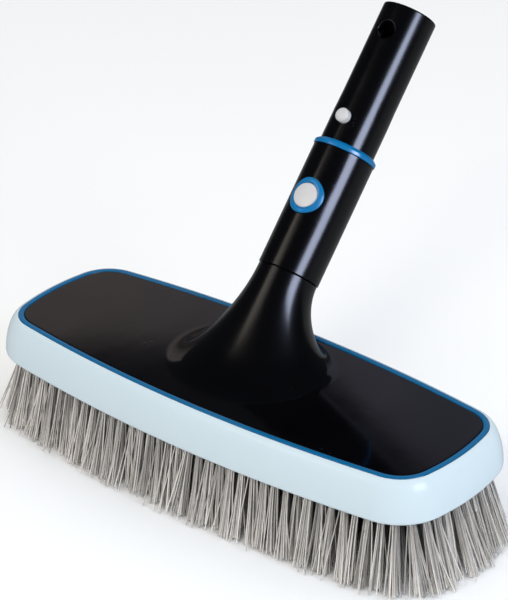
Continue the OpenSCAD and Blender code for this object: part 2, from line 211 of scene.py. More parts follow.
def handle(x, w, s):
    """Points in the frame from handle coordinates."""
    x, w, s = np.broadcast_arrays(x, w, s)
    return FOOT + x[..., None] * ACROSS + w[..., None] * FACING + s[..., None] * AXIS


def upright(centre):
    """A placing function for parts turned about an upright axis through centre."""
    return lambda x, y, h: np.stack(
        np.broadcast_arrays(centre[0] + x, centre[1] + y, centre[2] + h), -1
    )


def along_handle(x, y, h):
    """The placing function for parts turned about the handle's axis."""
    return handle(x, y, h)


def facing(s):
    """A placing function for parts turned about the line from the axis towards the button."""
    return lambda x, y, h: handle(x, h, s + y)


# ---------------------------------------------------------------- mesh code


class Skin:
    """Rings of points and the faces between them, in millimetres."""

    def __init__(self):
        self.points = []
        self.faces = []

    def ring(self, points):
        first = len(self.points)
        self.points.extend(np.asarray(points).tolist())
        return list(range(first, len(self.points)))

    def band(self, a, b):
        n = len(a)
        for i in range(n):
            j = (i + 1) % n
            self.faces.append((a[i], a[j], b[j], b[i]))

    def fan(self, ring, centre):
        (middle,) = self.ring([centre])
        n = len(ring)
        for i in range(n):
            self.faces.append((ring[i], ring[(i + 1) % n], middle))

    def closed(self, rings):
        """A tube that closes on itself."""
        made = [self.ring(r) for r in rings]
        for k, ring in enumerate(made):
            self.band(ring, made[(k + 1) % len(made)])

    def capped(self, rings, first_centre, last_centre):
        made = [self.ring(r) for r in rings]
        for a, b in zip(made, made[1:]):
            self.band(a, b)
        self.fan(made[0], first_centre)
        self.fan(made[-1], last_centre)

    def turned(self, profile, place, count=128):
        """A profile of (radius, height) turned about an axis. Radius 0 at both ends caps it."""
        angle = np.arange(count) * 2 * math.pi / count
        rings = [
            place(r * np.sin(angle), r * np.cos(angle), np.full(count, h))
            for r, h in profile
            if r > 0
        ]
        if profile[0][0] > 0:
            self.closed(rings)
        else:
            first = place(np.zeros(1), np.zeros(1), np.array([profile[0][1]]))[0]
            last = place(np.zeros(1), np.zeros(1), np.array([profile[-1][1]]))[0]
            self.capped(rings, first, last)

    def swept(self, profile):
        """A profile of (outward, height) taken round the head."""
        self.closed([ring_at(d, HEAD_H + z) for d, z in profile])


def piece(name, skin, material, body, nodes=(), crease=40):
    """Makes the object, with outward normals, and says what it rides on and stands for."""
    mesh = bpy.data.meshes.new(name)
    mesh.from_pydata((np.array(skin.points) * MM).tolist(), [], skin.faces)
    work = bmesh.new()
    work.from_mesh(mesh)
    bmesh.ops.recalc_face_normals(work, faces=work.faces)
    work.to_mesh(mesh)
    work.free()
    mesh.shade_smooth()
    mesh.set_sharp_from_angle(angle=math.radians(crease))
    mesh.materials.append(material)
    made = bpy.data.objects.new(name, mesh)
    bpy.context.scene.collection.objects.link(made)
    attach(made, body)
    if nodes:
        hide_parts(*nodes)
    return made


# ---------------------------------------------------------------- materials

# Between these values a noise texture does nearly all of its varying
NOISE_RANGE = (0.25, 0.75)


def map_range(tree, value, low, high, to_low=0, to_high=1):
    """Adds a node that maps value from low..high to to_low..to_high, and returns its output."""
    made = tree.nodes.new("ShaderNodeMapRange")
    made.inputs["From Min"].default_value = low
    made.inputs["From Max"].default_value = high
    made.inputs["To Min"].default_value = to_low
    made.inputs["To Max"].default_value = to_high
    tree.links.new(value, made.inputs["Value"])
    return made.outputs["Result"]


class Paint:
    """A principled material with a few short ways to add procedural detail."""

    def __init__(self, name, colour, roughness, metallic=0.0, specular=0.5):
        self.material = bpy.data.materials.new(name)
        self.material.use_nodes = True
        self.tree = self.material.node_tree
        self.shader = self.tree.nodes["Principled BSDF"]
        self.shader.inputs["Base Color"].default_value = (*colour, 1)
        self.shader.inputs["Roughness"].default_value = roughness
        self.shader.inputs["Metallic"].default_value = metallic
        self.shader.inputs["Specular IOR Level"].default_value = specular
        self.height = None

    def node(self, kind, **settings):
        made = self.tree.nodes.new(kind)
        for key, value in settings.items():
            setattr(made, key, value)
        return made

    def link(self, output, socket):
        self.tree.links.new(output, socket)

    def place(self, stretch=(1, 1, 1), turn=(0, 0, 0)):
        coords = self.node("ShaderNodeTexCoord")
        mapping = self.node("ShaderNodeMapping")
        mapping.inputs["Scale"].default_value = stretch
        mapping.inputs["Rotation"].default_value = turn
        self.link(coords.outputs["Object"], mapping.inputs["Vector"])
        return mapping.outputs["Vector"]

    def noise(self, scale, detail=2.0, stretch=(1, 1, 1), turn=(0, 0, 0)):
        made = self.node("ShaderNodeTexNoise")
        made.inputs["Scale"].default_value = scale
        made.inputs["Detail"].default_value = detail
        self.link(self.place(stretch, turn), made.inputs["Vector"])
        return made.outputs["Fac"]

    def upward(self):
        """Height above the bristle tips, in metres."""
        split = self.node("ShaderNodeSeparateXYZ")
        self.link(self.place(), split.inputs["Vector"])
        return split.outputs["Z"]

    def specks(self, scale, size):
        """1 inside small dots scattered on a grid of that scale, 0 elsewhere."""
        cells = self.node("ShaderNodeTexVoronoi")
        cells.inputs["Scale"].default_value = scale
        self.link(self.place(), cells.inputs["Vector"])
        return self.span(cells.outputs["Distance"], size, size * 0.5, 0, 1)

    def span(self, value, low, high, to_low, to_high):
        return map_range(self.tree, value, low, high, to_low, to_high)

    def times(self, a, b):
        made = self.node("ShaderNodeMath", operation="MULTIPLY")
        self.link(a, made.inputs[0])
        self.link(b, made.inputs[1])
        return made.outputs["Value"]

    def colours(self, value, dark, light):
        made = self.node("ShaderNodeMix", data_type="RGBA")
        made.inputs["A"].default_value = (*dark, 1)
        made.inputs["B"].default_value = (*light, 1)
        self.link(value, made.inputs["Factor"])
        self.link(made.outputs["Result"], self.shader.inputs["Base Color"])
        return made

    def over(self, mixed, value, colour):
        """Lays another colour over the one already mixed, where value is 1."""
        made = self.node("ShaderNodeMix", data_type="RGBA")
        made.inputs["B"].default_value = (*colour, 1)
        self.link(mixed.outputs["Result"], made.inputs["A"])
        self.link(value, made.inputs["Factor"])
        self.link(made.outputs["Result"], self.shader.inputs["Base Color"])
        return made

    def roughness(self, value, low, high, more=None):
        """Roughness from low to high with value, plus more where that is given."""
        result = self.span(value, *NOISE_RANGE, low, high)
        if more:
            both = self.node("ShaderNodeMath", operation="ADD")
            self.link(result, both.inputs[0])
            self.link(more, both.inputs[1])
            result = both.outputs["Value"]
        self.link(result, self.shader.inputs["Roughness"])

    def bump(self, value, strength, depth):
        made = self.node("ShaderNodeBump")
        made.inputs["Strength"].default_value = strength
        made.inputs["Distance"].default_value = depth
        self.link(value, made.inputs["Height"])
        if self.height:
            self.link(self.height, made.inputs["Normal"])
        self.height = made.outputs["Normal"]
        self.link(self.height, self.shader.inputs["Normal"])


def gloss_black(name, rough_low, rough_high, duller=0.0):
    """Black moulding: faint flow variation, fine wiping scratches and a few dust specks.

    Above the plate its roughness rises by duller over the neck's root, and stays there."""
    root_low, root_high = 0.0625, 0.076
    paint = Paint(name, (0.001, 0.001, 0.0017), 0.15, specular=0.32)
    mixed = paint.colours(paint.noise(22, 3), (0.0007, 0.0007, 0.0013), (0.0016, 0.0016, 0.0024))
    dust = paint.times(paint.specks(330, 0.07), paint.span(paint.noise(21, 3), 0.55, 0.63, 0, 1))
    paint.over(mixed, dust, (0.22, 0.21, 0.20))
    extra = paint.span(paint.upward(), root_low, root_high, 0, duller) if duller else None
    wiped = paint.noise(60, 5, (1, 0.12, 1), (0.3, 0.2, 0.6))
    paint.roughness(wiped, rough_low, rough_high, extra)
    paint.bump(paint.noise(110, 2), 0.25, 0.00004)
    paint.bump(paint.noise(900, 2, (1, 0.08, 1), (0.1, 0.4, 0.9)), 0.2, 0.00001)
    return paint.material


def soft_blue():
    """Pale blue soft moulding with a satin skin and a fine grain."""
    paint = Paint("soft_blue", (0.57, 0.67, 0.72), 0.2, specular=0.14)
    paint.colours(paint.noise(14, 4), (0.56, 0.66, 0.71), (0.58, 0.68, 0.73))
    paint.roughness(paint.noise(180, 4), 0.17, 0.22)
    paint.bump(paint.noise(2200, 3), 0.15, 0.00003)
    return paint.material


def gloss_blue(name, dark, light):
    """Polished blue moulding, mottled between two close shades."""
    paint = Paint(name, light, 0.2)
    paint.colours(paint.noise(40, 3), dark, light)
    paint.roughness(paint.noise(120, 4), 0.15, 0.28)
    paint.bump(paint.noise(300, 2), 0.2, 0.00002)
    return paint.material


def white_nylon():
    """White moulding with a satin skin."""
    paint = Paint("white_nylon", (0.56, 0.555, 0.56), 0.35)
    paint.colours(paint.noise(150, 3), (0.53, 0.525, 0.53), (0.585, 0.58, 0.58))
    paint.roughness(paint.noise(500, 4), 0.28, 0.42)
    paint.bump(paint.noise(1500, 3), 0.2, 0.00002)
    return paint.material


def bristle_nylon():
    """Grey filament: each one has its own tone with painted light and shade in it, mottling along
    it and painted shade towards the root.
    """
    paint = Paint("bristle_nylon", (0.36, 0.35, 0.33), 0.4)
    # The tone attribute holds each filament's own tone with painted light and shade in it.
    own = paint.node("ShaderNodeAttribute", attribute_name="tone")
    mixed = paint.colours(own.outputs["Fac"], (0.015, 0.0145, 0.014), (0.83, 0.79, 0.745))
    mottling = paint.span(paint.noise(260, 3), 0.5, 0.8, 0, 0.3)
    mixed = paint.over(mixed, mottling, (0.16, 0.15, 0.14))
    # Painted shade: the filaments darken towards their roots.
    shade_low, shade_high = 0.034, 0.052
    shaded = paint.span(paint.upward(), shade_low, shade_high, 0, 0.6)
    paint.over(mixed, shaded, (0.03, 0.029, 0.028))
    paint.roughness(paint.noise(700, 3), 0.32, 0.5)
    paint.bump(paint.noise(1800, 2), 0.3, 0.00002)
    return paint.material


def moulded_black(name, colour, light):
    """Unpolished black moulding with a spark-eroded texture."""
    paint = Paint(name, colour, 0.5)
    paint.colours(paint.noise(90, 4), colour, light)
    paint.roughness(paint.noise(400, 4), 0.42, 0.6)
    paint.bump(paint.noise(1400, 3), 0.4, 0.00005)
    return paint.material


def stainless():
    """Brushed stainless steel."""
    paint = Paint("stainless", (0.6, 0.6, 0.61), 0.3, metallic=1.0)
    paint.colours(paint.noise(200, 3), (0.52, 0.52, 0.53), (0.66, 0.66, 0.67))
    paint.roughness(paint.noise(900, 3, (1, 0.1, 1)), 0.22, 0.4)
    paint.bump(paint.noise(1600, 2, (1, 0.1, 1)), 0.25, 0.00002)
    return paint.material


def floor_white():
    """Pale studio floor, toned down where it shows in glossy surfaces."""
    paint = Paint("floor_white", (0.96, 0.96, 0.96), 0.7, specular=0.2)
    mixed = paint.colours(paint.noise(3, 3), (0.955, 0.955, 0.96), (0.97, 0.97, 0.97))
    paint.over(mixed, paint.node("ShaderNodeLightPath").outputs["Is Glossy Ray"], (0.3, 0.3, 0.3))
    return paint.material


COVER_BLACK = gloss_black("cover_black", 0.06, 0.09, duller=0.14)
HANDLE_BLACK = gloss_black("handle_black", 0.17, 0.22)
SOFT_BLUE = soft_blue()
# The trim and the rings share one blue moulding in two copies: the trim's darker copy is painted
# shade, the rings' lighter copy is painted light.
TRIM_BLUE_SHADED = gloss_blue("trim_blue", (0.0003, 0.107, 0.25), (0.0008, 0.123, 0.29))
RING_BLUE_LIT = gloss_blue("ring_blue", (0.0005, 0.14, 0.35), (0.001, 0.155, 0.39))
WHITE_NYLON = white_nylon()
BRISTLE = bristle_nylon()
BLOCK_DARK = moulded_black("block_dark", (0.018, 0.018, 0.02), (0.034, 0.034, 0.037))
MECHANISM_DARK = moulded_black("mechanism_dark", (0.03, 0.03, 0.033), (0.05, 0.05, 0.055))
STEEL = stainless()


# ---------------------------------------------------------------- head


def by_side(angle, end_value, front_value, back_value):
    """Goes smoothly from the ends' value to the front's or the back's, by direction."""
    across = np.where(np.sin(angle) > 0, back_value, front_value)
    return np.cos(angle) ** 2 * end_value + np.sin(angle) ** 2 * across


def neck_ring(t, thin, z, top):
    """The neck's surface at t, from 0 at the plate to 1 at the top, set in by thin."""
    angle = np.arctan2(OUTLINE[:, 1] / HALF_W, OUTLINE[:, 0] / HALF_L)
    cos, sin = np.cos(angle), np.sin(angle)
    reach_y = np.where(sin > 0, ROOT_BACK, ROOT_FRONT) - thin
    reach = 1 / np.hypot(cos / (ROOT_END - thin), sin / reach_y)
    flat = np.column_stack([reach * cos, reach * sin])
    foot = np.column_stack([flat[:, 0], ROOT_Y + flat[:, 1], np.full(len(flat), z)])
    rim = top + (NECK_R - thin) * (cos[:, None] * ACROSS + sin[:, None] * BACK)
    inward = -np.column_stack([flat / reach[:, None], np.zeros(len(flat))])
    low = foot + inward * by_side(angle, END_LEAD[0], FRONT_LEAD[0], BACK_LEAD[0])[:, None]
    high = rim - AXIS * by_side(angle, END_LEAD[1], FRONT_LEAD[1], BACK_LEAD[1])[:, None]
    u = 1 - t
    return u**3 * foot + 3 * u * u * t * low + 3 * u * t * t * high + t**3 * rim


def top_cover():
    """Plate and hollow neck in one skin, with the socket and the screw bosses inside."""
    steps = 56
    inner_steps = 20
    edge = -TRIM_HALF - GAP
    bevel = 0.5
    rim_bevel = 0.35
    cap_t = 4.0
    plate_steps = 50
    under = HEAD_H - COVER_T
    top = FOOT + NECK_S * AXIS
    inner_top = top - cap_t * AXIS
    neck = [neck_ring(k / steps, 0, HEAD_H, top) for k in range(steps, -1, -1)]
    rim = neck[0] - rim_bevel * AXIS
    shoulder = top + (neck[0] - top) * (1 - rim_bevel / NECK_R)
    foot = neck[-1]
    plate_end = ring_at(edge - bevel - 0.5, HEAD_H)
    plate = [
        foot + (plate_end - foot) * k / plate_steps
        for k in (1, 6, 13, 20, 27, 34, 42, plate_steps)
    ]
    plate += [ring_at(edge - bevel - 0.2, HEAD_H), ring_at(edge - bevel, HEAD_H)]
    corner = [
        ring_at(edge - bevel * (1 - math.sin(a)), HEAD_H - bevel * (1 - math.cos(a)))
        for a in QUARTER
    ]
    inner = [
        neck_ring(k / inner_steps, COVER_T, under, inner_top) for k in range(inner_steps + 1)
    ]
    skin = Skin()
    skin.capped(
        [shoulder, rim, *neck[1:], *plate, *corner, ring_at(edge, under), *inner], top, inner_top
    )
    socket_bore, socket_r, screw_bore = 12.05, 14.2, 2.2
    for bore, low, high in ((socket_bore, 22.0, 46.5), (screw_bore, 18.0, 21.9)):
        wall = [(bore, low), (socket_r, low), (socket_r, high), (bore, high)]
        skin.turned(wall, along_handle)
    boss_bore, boss_r = 1.8, 3.6
    boss_low, boss_high = -6.1, -COVER_T - 0.05
    boss = [(boss_bore, boss_low), (boss_r, boss_low), (boss_r, boss_high), (boss_bore, boss_high)]
    for x, y in SCREWS_AT:
        skin.turned(boss, upright((x, y, HEAD_H)), 48)
    return piece("top_cover_shell", skin, COVER_BLACK, "brush", ["top_cover"], 28)


def bumper():
    """Soft frame: a full round shoulder, a nearly upright side and a tucked-in bottom edge."""
    inner = TRIM_HALF + GAP
    out = 9.0
    side = 19.6
    swell = 2 / 1.77
    lip = 0.35
    wall = 1.9
    ledge = -5.0
    ledge_low, ledge_high = -6.0, -3.1
    arc = [
        (inner + (out - inner) * math.cos(a) ** swell, -side + side * math.sin(a) ** swell)
        for a in np.radians(np.linspace(84, 0, 30))
    ]
    lip_arc = [
        (inner + lip * (1 - math.cos(a)), -lip * (1 - math.sin(a)))
        for a in np.radians([0, 25, 50, 75])
    ]
    edge_r = 2.3
    edge = [
        (out - edge_r * (1 - math.cos(a)), -side - edge_r * math.sin(a))
        for a in np.radians(np.linspace(9, 90, 10))
    ]
    inside = rounded(
        [
            (wall + 0.5, -side - edge_r, 0.5),
            (wall, -side - edge_r + 1.2, 0.3),
            (wall, ledge_low, 0),
            (ledge, ledge_low, 0),
            (ledge, ledge_high, 0),
            (inner, ledge_high, 0),
        ],
        4,
    )
    skin = Skin()
    skin.swept([*lip_arc, *arc, *edge, *inside])
    return piece("bumper_shell", skin, SOFT_BLUE, "brush", ["bumper_frame"], 50)


def trim_bead():
    """Blue line, a little proud of the plate and rounded along both edges."""
    half = TRIM_HALF
    foot, top, edge_r = -3, 0.25, 0.5
    profile = [(-half, foot, 0), (half, foot, 0), (half, top, edge_r), (-half, top, edge_r)]
    skin = Skin()
    skin.swept(rounded(profile, 6))
    return piece("trim_bead", skin, TRIM_BLUE_SHADED, "brush", ["trim_ring"])


# ---------------------------------------------------------------- bristles


def tufts_of(node):
    """Root and tip centres of every tuft of a CAD node, in millimetres."""
    work = bmesh.new()
    work.from_mesh(frame["nodes"][node].data)
    bmesh.ops.remove_doubles(work, verts=work.verts, dist=1e-6)
    near = 2.5
    seen = set()
    found = []
    for seed in work.verts:
        if seed in seen:
            continue
        seen.add(seed)
        island, queue = [], [seed]
        while queue:
            vert = queue.pop()
            island.append(vert.co[:])
            for edge in vert.link_edges:
                other = edge.other_vert(vert)
                if other not in seen:
                    seen.add(other)
                    queue.append(other)
        points = np.array(island) / MM
        top = points[:, 2].max()
        low = points[:, 2].min()
        root = points[points[:, 2] > top - near].mean(0)
        tip = points[points[:, 2] < low + near].mean(0)
        found.append((root, tip))
    work.free()
    return sorted(found, key=lambda pair: (round(pair[0][0], 2), round(pair[0][1], 2)))


def filaments(name, node, per_tuft, seed, wildness, shelter):
    """Every tuft as loose filaments: packed at the hole, fanned, bowed and ragged at the tips.

    A filament's tone is its own random tone with painted light and shade in it: its sides differ a
    little, for a lit and a shaded side, and it is painted darkest at its root in the middle of the
    tuft, and darker all over on the rings that shelter more behind others."""
    rng = np.random.default_rng(seed)
    radius = 0.35
    sides = 4
    rings = 6
    root_r = 1.35
    inside = 5.0
    furthest = 6.0
    lean_together, lean_alone = 1.3, 0.9 * wildness
    stray_share, stray_reach = 0.2, 5.0 * wildness
    swing_x, swing_y = 2.4, 2.2
    u = np.linspace(0, 1, rings)
    golden = math.pi * (3 - math.sqrt(5))
    points, tones = [], []
    for root, tip in tufts_of(node):
        axis = (tip - root) / np.linalg.norm(tip - root)
        first = np.cross(axis, [0.0, 1.0, 0.0])
        first /= np.linalg.norm(first)
        second = np.cross(axis, first)
        k = np.arange(per_tuft)
        spread = root_r * np.sqrt((k + 0.5) / per_tuft)
        angle = golden * k + rng.uniform(0, 2 * math.pi)
        start = np.column_stack([spread * np.cos(angle), spread * np.sin(angle)])
        start += rng.normal(0, 0.12, start.shape)
        fan = rng.uniform(1.6, 2.8, (per_tuft, 1))
        end = start * fan + rng.normal(0, lean_together, 2) + rng.normal(0, lean_alone, start.shape)
        stray = rng.random((per_tuft, 1)) < stray_share
        end = np.clip(end + stray * rng.normal(0, stray_reach, start.shape), -furthest, furthest)
        bow = rng.normal(0, 0.35 * wildness, start.shape)
        grow = (u**1.4)[None, :, None]
        hump = (4 * u * (1 - u))[None, :, None]
        drift = start[:, None] + (end - start)[:, None] * grow + bow[:, None] * hump
        ragged = np.abs(rng.normal(0, 1.3, per_tuft))
        ragged = ragged + rng.choice([0, 2.0], per_tuft, p=[0.88, 0.12])
        tip_side = end[:, :1] * first + end[:, 1:] * second
        base = root + inside * axis
        swing = np.array([swing_x * root[0] / HALF_L, swing_y * root[1] / HALF_W, 0.0])
        length = (base[2] + tip_side[:, 2] - ragged - radius) / -axis[2]
        along = length[:, None] * u
        line = base + along[..., None] * axis
        line = line + drift[..., :1] * first + drift[..., 1:] * second + grow[0] * swing
        corner = np.arange(sides) * 2 * math.pi / sides + 0.4
        loop = np.cos(corner)[:, None] * first + np.sin(corner)[:, None] * second
        points.append((line[:, :, None] + radius * loop).reshape(-1, 3))
        # Each filament's own random tone; its sides also differ at random, painted light and shade
        # for a lit and a shaded side.
        own = rng.uniform(0.5, 1.02, (per_tuft, 1, 1))
        own = own + rng.uniform(-0.25, 0.25, (per_tuft, 1, sides))
        # Painted shade: darker towards the root in the middle of each tuft, and all over on the
        # sheltered rings.
        depth = 1 - (1 - shelter) * (0.15 + 0.85 * (spread / root_r) ** 2)
        lit = u ** (1.5 + 1.7 * shelter)
        tones.append((own * (1 - depth[:, None] * (1 - lit))[..., None]).ravel())
    points = np.vstack(points)
    count = len(points) // (rings * sides)
    base = (np.arange(count) * rings * sides)[:, None]
    walls = []
    for r in range(rings - 1):
        for c in range(sides):
            d = (c + 1) % sides
            walls.append((r * sides + c, r * sides + d, (r + 1) * sides + d, (r + 1) * sides + c))
    last = (rings - 1) * sides
    walls.append(tuple(range(sides - 1, -1, -1)))
    walls.append(tuple(range(last, last + sides)))
    faces = (base[:, :, None] + np.array(walls)[None]).reshape(-1, sides)
    mesh = bpy.data.meshes.new(name)
    mesh.from_pydata((points * MM).tolist(), [], faces.tolist())
    mesh.shade_smooth()
    mesh.set_sharp_from_angle(angle=math.radians(80))
    tone = mesh.attributes.new("tone", "FLOAT", "POINT")
    tone.data.foreach_set("value", np.concatenate(tones).astype(np.float32))
    mesh.materials.append(BRISTLE)
    made = bpy.data.objects.new(name, mesh)
    bpy.context.scene.collection.objects.link(made)
    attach(made, "brush")
    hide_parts(node)
    return made


# ---------------------------------------------------------------- handle


def drilled_tube(outer, bore, holes, columns=144):
    """A tube from a profile of (s, radius), bored through, with round holes in its wall.

    Each hole is (s, radius, margin, fillet, sides): side 1 faces the button and -1 the back.
    Rings morph from a window in the tube's grid to the hole, whose rim is rounded.
    """
    window_rows = 6
    morphs = 5
    bunching = 0.8
    skin = Skin()
    rows = [tuple(p) for p in outer]
    for s, radius, margin, _, _ in holes:
        half = radius + margin
        for k in range(-window_rows, window_rows + 1):
            at = s + half * k / window_rows
            rows.append((at, float(np.interp(at, outer[:, 0], outer[:, 1]))))
    rows = sorted(set(rows))
    angle = np.arange(columns) * 2 * math.pi / columns
    around_x, around_w = np.sin(angle), np.cos(angle)
    grid = [skin.ring(handle(r * around_x, r * around_w, np.full(columns, s))) for s, r in rows]
    inner = [
        skin.ring(handle(bore * around_x, bore * around_w, np.full(columns, s))) for s, _ in rows
    ]
    taken = set()
    for s, radius, margin, fillet, sides in holes:
        half = radius + margin
        low = min(range(len(rows)), key=lambda i: abs(rows[i][0] - (s - half)))
        high = min(range(len(rows)), key=lambda i: abs(rows[i][0] - (s + half)))
        wide = math.ceil(math.asin(half / rows[low][1]) * columns / (2 * math.pi))
        for side in sides:
            middle = 0 if side > 0 else columns // 2
            span = [(middle + k) % columns for k in range(-wide, wide + 1)]
            taken.update((i, span[k]) for i in range(low, high) for k in range(2 * wide))
            loop = [(low, c) for c in span]
            loop += [(i, span[-1]) for i in range(low + 1, high)]
            loop += [(high, c) for c in reversed(span)]
            loop += [(i, span[0]) for i in range(high - 1, low, -1)]
            rings = []
            for surface, r_of in ((grid, None), (inner, bore)):
                edge = [surface[i][c] for i, c in loop]
                r = np.array([r_of or rows[i][1] for i, c in loop])
                x = r * np.sin(angle[[c for i, c in loop]]) * side
                up = np.array([rows[i][0] for i, c in loop]) - s
                around = np.arctan2(up, x)
                rounding = fillet if r_of is None else 0.0
                mouth = radius + rounding
                made = [edge]
                for k in range(1, morphs + 1):
                    part = (k / morphs) ** bunching
                    px = x + (mouth * np.cos(around) - x) * part
                    ps = up + (mouth * np.sin(around) - up) * part
                    w = np.sqrt(r**2 - px**2)
                    made.append(skin.ring(handle(side * px, side * w, s + ps)))
                if rounding:
                    for a in QUARTER:
                        px = (radius + rounding * (1 - math.sin(a))) * np.cos(around)
                        ps = (radius + rounding * (1 - math.sin(a))) * np.sin(around)
                        w = np.sqrt((r - rounding * (1 - math.cos(a))) ** 2 - px**2)
                        made.append(skin.ring(handle(side * px, side * w, s + ps)))
                for a, b in zip(made, made[1:]):
                    skin.band(a, b)
                rings.append(made[-1])
            skin.band(rings[0], rings[1])
    for surface in (grid, inner):
        for i in range(len(rows) - 1):
            for c in range(columns):
                if (i, c) not in taken:
                    d = (c + 1) % columns
                    a, b = surface[i], surface[i + 1]
                    skin.faces.append((a[c], a[d], b[d], b[c]))
    skin.band(grid[0], inner[0])
    skin.band(grid[-1], inner[-1])
    return skin


def sleeve():
    """Thicker tube from the neck's seam to the collar, with a seat for the bezel."""
    foot = NECK_S + 0.35
    top = COLLAR_S - GAP
    round_r = 0.25
    top_round = 0.2
    outer = [
        (foot + round_r * (1 - math.cos(a)), SLEEVE_R - round_r * (1 - math.sin(a)))
        for a in np.radians([0, 30, 60, 90])
    ]
    outer += [(foot + 0.35, SLEEVE_R), (foot + 0.6, SLEEVE_R)]
    outer += [(top - 0.5, SLEEVE_R), (top - 0.3, SLEEVE_R)]
    outer += [
        (top - top_round * (1 - math.sin(a)), SLEEVE_R - top_round * (1 - math.cos(a)))
        for a in np.radians([0, 45, 90])
    ]
    seat = (BUTTON_S, BEZEL_R + 0.08, 1.6, 0.15, (1,))
    skin = drilled_tube(np.array(outer), LAND_R + SLIP, [seat])
    return piece(
        "handle_sleeve_shell", skin, HANDLE_BLACK, "brush", ["handle_sleeve"], 30
    )


def tube():
    """Tube that enters the pole, a touch larger below the lock pin.

    Rows close beside each change of slope keep the shading flat on either side of it."""
    foot = NECK_S + 0.3
    round_r = 0.8
    near, far = 0.1, 0.3
    ramp_end = LAND_END_S + 10.0
    straight_end = TUBE_TIP_S - 1.0
    outer = [(s, LAND_R) for s in (foot, LAND_END_S - far, LAND_END_S - near, LAND_END_S)]
    outer += [(s, TUBE_R) for s in (ramp_end, ramp_end + near, ramp_end + far)]
    outer += [(straight_end - far, TUBE_R), (straight_end, TUBE_R)]
    outer += [
        (TUBE_TIP_S - round_r * (1 - math.sin(a)), TUBE_R - round_r * (1 - math.cos(a)))
        for a in np.radians([0, 18, 36, 54, 72, 90])
    ]
    holes = [
        (BUTTON_S, BUTTON_R + 0.25, 1.5, 0.1, (1,)),
        (PIN_S, PIN_R + GAP, 0.85, 0.12, (1,)),
        (CROSS_S, CROSS_R, 2.6, 0.45, (1, -1)),
    ]
    skin = drilled_tube(np.array(outer), BORE_R, holes)
    return piece("pole_tube_shell", skin, HANDLE_BLACK, "brush", ["pole_tube"], 30)


def collar():
    """Blue ring at the sleeve's top, sloping in to the tube."""
    bore = LAND_R + SLIP
    slope = COLLAR_S + 2.1
    top = COLLAR_S + 3.6
    profile = rounded(
        [
            (bore, COLLAR_S, 0),
            (COLLAR_R, COLLAR_S, 0.25),
            (COLLAR_R, slope, 1.0),
            (bore + 0.3, top, 0.25),
            (bore, top, 0),
        ]
    )
    skin = Skin()
    skin.turned(profile, along_handle, 160)
    return piece("collar_shell", skin, RING_BLUE_LIT, "brush", ["collar_ring"])


def bezel():
    """Ring round the button that follows the sleeve's curve."""
    sunk = -1.0
    proud = 0.75
    rim = proud - 0.35
    hole = BUTTON_R + GAP
    crown = (BEZEL_R + hole) / 2
    profile = rounded(
        [
            (hole, sunk, 0),
            (BEZEL_R, sunk, 0),
            (BEZEL_R, rim, 0.4),
            (crown, proud, 1.0),
            (hole, rim, 0.3),
        ],
        6,
    )
    angle = np.arange(128) * 2 * math.pi / 128
    rings = []
    for r, lift in profile:
        x = r * np.sin(angle)
        w = np.sqrt(SLEEVE_R**2 - x**2) + lift
        rings.append(handle(x, w, BUTTON_S + r * np.cos(angle)))
    skin = Skin()
    skin.closed(rings)
    return piece("button_bezel_ring", skin, RING_BLUE_LIT, "brush", ["button_bezel"])


def dome(radius, shoulder, height, steps=14):
    """The round end of a turned part, from its shoulder to its crown."""
    return [
        (radius * math.cos(a), shoulder + height * math.sin(a))
        for a in np.radians(np.linspace(0, 90, steps))[1:-1]
    ] + [(0, shoulder + height)]


def button():
    """Push button: a stem for the lever, a flange that keeps it in and a slightly domed face."""
    stem = 2.5
    foot, flange_low, flange_high, face = 6.9, 8.4, 9.9, 16.6
    flange = BUTTON_R + 0.7
    doming = 0.7
    side = rounded(
        [
            (0, foot, 0),
            (stem, foot, 0.3),
            (stem, flange_low, 0),
            (flange, flange_low, 0.3),
            (flange, flange_high, 0.3),
            (BUTTON_R, flange_high, 0),
            (BUTTON_R, face, 0.45),
            (0, face, 0),
        ]
    )[:-1]
    crown = [
        (r, face + doming * (1 - (r / BUTTON_R) ** 2)) for r in np.linspace(BUTTON_R - 0.9, 0.6, 8)
    ]
    skin = Skin()
    skin.turned([*side, *crown, (0, face + doming)], facing(BUTTON_S))
    return piece("push_button", skin, WHITE_NYLON, "button", ["release_button"])


def lock_pin():
    """Lock pin, from its foot up: a head below the lever's fork, a thin waist in the fork, a
    shoulder above it, a flange that keeps the pin in and the domed pin itself."""
    head_r, waist_r, shoulder_r, flange_r = 3.0, 1.8, 3.2, 4.6
    foot, head_top, waist_top, shoulder_top, flange_top = 0.8, 2.1, 7.0, 9.8, 11.2
    dome_foot, dome_height = 17.0, 1.6
    side = rounded(
        [
            (0, foot, 0),
            (head_r, foot, 0.2),
            (head_r, head_top, 0),
            (waist_r, head_top, 0),
            (waist_r, waist_top, 0),
            (shoulder_r, waist_top, 0.2),
            (shoulder_r, shoulder_top, 0),
            (flange_r, shoulder_top, 0.2),
            (flange_r, flange_top, 0.2),
            (PIN_R, flange_top, 0),
            (PIN_R, dome_foot, 0),
            (0, dome_foot, 0),
        ]
    )[:-1]
    skin = Skin()
    skin.turned([*side, *dome(PIN_R, dome_foot, dome_height)], facing(PIN_S), 96)
    return piece("lock_pin_shell", skin, WHITE_NYLON, "pin", ["lock_pin"])


